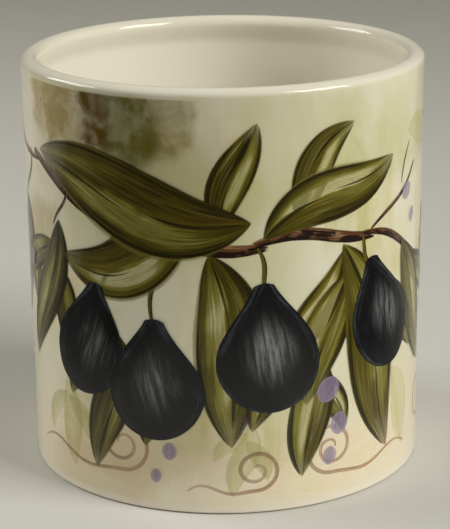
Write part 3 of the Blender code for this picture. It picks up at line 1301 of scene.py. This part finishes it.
# %% Places of the vine, the stalks and the tendrils
VINE = [
    # start right, start up, end right, end up, bow, sway, half width, tint
    (-128, 136, -84, 124, -2.0, 1.0, 1.5, 0),
    (-90, 127, -36, 106, -2.5, 0.8, 2.5, 0),
    (-42, 108, 16, 101, -2.5, 1.0, 2.9, 0),
    (10, 101.5, 62, 100, 3.0, 1.4, 2.6, 0),
    (56, 101.5, 98, 84, 2.5, 1.2, 1.8, 0),
    (-94, 127, -107, 106, 2.5, 1.0, 1.0, 0),
    (-66, 119, -76, 101, 1.5, 0.8, 0.9, 0),
    (60, 102, 92, 122, -2.0, 0.8, 1.1, 0),
    (80, 115, 86, 130, 1.0, 0.0, 0.7, 0),
]
STALKS = [
    (-44, 106, -50, 80, 3.0, 0.6, 1.1, 0),
    (-20, 103, -26, 70, -3.5, 0.8, 1.1, 0),
    (12, 101, 14, 84, 1.5, 0.4, 1.1, 0),
    (56, 101, 60, 88, -1.5, 0.3, 1.1, 0),
]
TENDRILS = [
    # start right, height, reach to the right, wave height, turns of the spiral, its radius
    (-84, 14, 46, 5.0, 1.75, 10.5),
    (80, 12, -42, 4.5, 1.75, 10.0),
    (-14, 9, 24, 3.0, 1.60, 8.0),
    (126, 16, -26, 4.0, 1.60, 9.0),
]
print(len(VINE), "strokes of vine,", len(STALKS), "stalks and", len(TENDRILS), "tendrils in each spray")

# %% Shape the tendrils
TENDRIL_HALF_WIDTH_MM = 0.90
WAVE_SHARE = 0.45


def line_shape(share):
    """Half width of a thin line: it swells a little in the middle and tapers at both ends."""
    return 0.45 + 0.55 * np.sin(np.pi * share) ** 0.6


def tendril_strokes(rows):
    """A wave that rises slowly, then a spiral that closes in, joined without a kink."""
    tendril = round_the_crock(TENDRILS)[:, :, None]
    wave = np.clip(evenly(rows) / WAVE_SHARE, 0, 1)
    turn = np.clip((evenly(rows) - WAVE_SHARE) / (1 - WAVE_SHARE), 0, 1)
    angle = 2 * np.pi * tendril[:, 4] * turn ** 0.8
    radius = tendril[:, 5] * (1 - 0.85 * turn)
    right = tendril[:, 0] + tendril[:, 2] * wave + np.sign(tendril[:, 2]) * radius * np.sin(angle)
    up = tendril[:, 1] + tendril[:, 3] * np.sin(2 * np.pi * wave) * (1 - wave)
    up = up + tendril[:, 5] - radius * np.cos(angle)
    half_width = TENDRIL_HALF_WIDTH_MM * line_shape(evenly(rows))
    return np.stack([right, up], -1), np.broadcast_to(half_width, right.shape), 0.0


tendrils = tendril_strokes(170)
print("Each tendril has", tendrils[0].shape[1], "rows")

# %% Paint the vine, the stalks and the tendrils
BARK = srgb(96, 58, 30)
BARK_LIGHT = srgb(164, 126, 92)
BARK_DARK = srgb(34, 20, 14)
STALK_GREEN = srgb(94, 88, 22)
STALK_DARK = srgb(42, 38, 10)
TENDRIL_BROWN = srgb(184, 138, 110)


def bark_look(net, marks):
    """Brown with pinkish lights along one side and broken dark lines along the other."""
    light = net.mask(marks.streak * 0.45 + marks.fine * 0.55, 0.35, 0.80)
    dashes = net.noise(net.vector(marks.run * 0.16, marks.across, marks.shift), 1.0)
    dark = net.mask(dashes + marks.fine * 0.25 - marks.across * 0.30, 0.54, 0.70)
    return net.mix(dark, net.mix(light, BARK, BARK_LIGHT), BARK_DARK), 1.0


def stalk_look(net, marks):
    """Green with a dark line along one side."""
    side = net.mask(marks.fine * 0.5 + marks.across, 0.45, 0.85)
    return net.mix(side, STALK_GREEN, STALK_DARK), 1.0


def tendril_look(net, marks):
    """A thin line that fades where the brush ran dry."""
    return net.mix(marks.fine, TENDRIL_BROWN, BARK), marks.streak * 0.40 + 0.34


tendril_line = painted("tendril_line", tendril_look, softness=0.3)
paint("painted_tendrils", tendrils, tendril_line, columns=5)
vine_bark = painted("vine_bark", bark_look, ragged=3.0, wander=0.3, fade=0.8)
paint("painted_vines", strokes_from(VINE, 50, line_shape), vine_bark, columns=7)
stalk_green = painted("stalk_green", stalk_look, softness=0.3)
paint("painted_stalks", strokes_from(STALKS, 40, line_shape), stalk_green, columns=7)

# %% [markdown]
# Figs
#
# A fig hangs by a narrow neck and swells to a round body. One stroke covers it: its sheet runs
# from neck to eye, and because the sheet narrows at both ends the bristle marks crowd together
# there, as lines do on a round fruit. The paint is nearly black, with dry grey strokes where
# light falls and lighter hairs that follow the edge just inside it. A fig's tint says how much
# grey it has.

# %% Shape the figs
FIGS = [
    # neck right, neck up, direction, length, half width, tint
    (-51, 84, 262, 44, 16.5, 0.25),
    (-26, 74, 275, 46, 18.0, 0.45),
    (60, 92, 282, 45, 16.5, 0.75),
    (14, 88, 271, 49, 19.0, 1.00),
]
FIG_NECK_SHARE = 0.20
FIG_WIDEST_SHARE = 0.60


def fig_shape(share):
    """Half width from neck to eye: a quarter sine that swells, then a quarter ellipse that closes."""
    before = np.clip(share / FIG_WIDEST_SHARE, 0, 1)
    after = np.clip(share - FIG_WIDEST_SHARE, 0, 1) / (1 - FIG_WIDEST_SHARE)
    swell = FIG_NECK_SHARE + (1 - FIG_NECK_SHARE) * np.sin(np.pi / 2 * before) ** 1.35
    close = np.sqrt(np.clip(1 - after ** 2, 0.0002, 1))
    neck_end = np.sqrt(np.clip(share / 0.02, 0.001, 1))
    return swell * close * neck_end


def fig_strokes(rows):
    """A path from each neck to each eye, with points closer together at both ends."""
    fig = round_the_crock(FIGS)
    end = fig[:, :2] + heading(fig[:, 2]) * fig[:, 3:4]
    bow = fig[:, 3] * chance.normal(0, 0.02, len(fig))
    path = bowed_paths(fig[:, :2], end, bow, bow * 0, crowded(rows))
    return path, fig[:, 4:5] * fig_shape(crowded(rows)), fig[:, 5]


figs = fig_strokes(60)
print(len(figs[0]), "figs round the wall")

# %% Paint the figs
FIG_DARK = srgb(5, 5, 6)
FIG_STREAK = srgb(36, 39, 45)
FIG_GREY = srgb(150, 151, 148)
FIG_EDGE = srgb(76, 82, 84)


def fig_look(net, marks):
    """Near black with a glow of dry grey hairs, and lighter hairs that follow the edge."""
    run = marks.run * 0.06
    slant = marks.run * (marks.chance * 0.8 - 0.4) + marks.aside

    def hairs(across, scale, start, end):
        """Strokes this many to the millimetre across, drawn out along the fruit."""
        place = net.vector(run, across * scale, marks.shift)
        return net.mask(net.noise(place, 1.0, 4.0, 0.75), start, end)

    dry = hairs(slant, 0.60, 0.38, 0.68)
    colour = net.mix(hairs(slant, 0.15, 0.38, 0.78) * 0.36 + dry * 0.08, FIG_DARK, FIG_STREAK)
    beside = (marks.across - (marks.chance * 0.4 - 0.10)) / 0.72
    above = (marks.along - 0.52) / 0.38
    glow = net.mask(net.length(net.vector(beside, above)), 1.0, 0.1) ** 1.5
    colour = net.mix(glow * (dry * 0.86 + 0.12) * (marks.tint * 0.58 + 0.30), colour, FIG_GREY)
    near_edge = net.mask(marks.edge, 5.0, 1.6) * net.mask(marks.edge, 0.3, 1.2)
    broken = net.noise(net.vector(run * 1.5, marks.across, marks.shift), 1.0, 2.0)
    ring = near_edge * hairs(marks.edge, 0.65, 0.46, 0.66) * net.mask(broken, 0.34, 0.54)
    return net.mix(ring * (marks.tint * 0.20 + 0.58), colour, FIG_EDGE), 1.0


fig_black = painted("fig_black", fig_look, wander=0.05, softness=0.35)
paint("painted_figs", figs, fig_black, columns=31)

# %% [markdown]
# Violet buds
#
# Last come a few dabs of opaque violet, three or two at a time, that overlap leaves and
# ground alike.

# %% Paint the buds
BUDS = [
    # right, up, half width
    (37, 45, 4.6), (41, 31, 3.9), (37, 19, 3.2),
    (84, 112, 3.4), (89, 102, 2.8),
    (-20, 24, 3.0), (-25, 14, 2.4),
    (-96, 84, 3.4), (-99, 72, 2.8),
]
VIOLET = srgb(132, 116, 146)
VIOLET_PALE = srgb(164, 154, 172)


def bud_strokes(rows):
    """Short strokes, a little longer than wide, as half an ellipse each way."""
    bud = round_the_crock(BUDS)
    step = heading(chance.normal(80, 20, len(bud))) * bud[:, 2:3] * 1.15
    still = np.zeros(len(bud))
    path = bowed_paths(bud[:, :2] - step, bud[:, :2] + step, still, still, crowded(rows))
    return path, bud[:, 2:3] * np.sqrt(np.clip(1 - (2 * crowded(rows) - 1) ** 2, 0.002, 1)), 0.0


def bud_look(net, marks):
    """Violet that is paler where the dab is thick, and lets a little of the leaf through."""
    thick = net.mask(marks.edge, 1.8, 0.4) * 0.5 + marks.fine * 0.5
    return net.mix(thick, VIOLET, VIOLET_PALE), 0.74


bud_violet = painted("bud_violet", bud_look, wander=0.35, softness=0.9)
paint("painted_buds", bud_strokes(22), bud_violet, columns=11)

# %% [markdown]
# Finish
#
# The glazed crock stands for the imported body.

# %% Hand over
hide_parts("crock_body")
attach(crock, "root")

print("CAD box", [round(v, 4) for v in (*cad_low, *cad_high)])
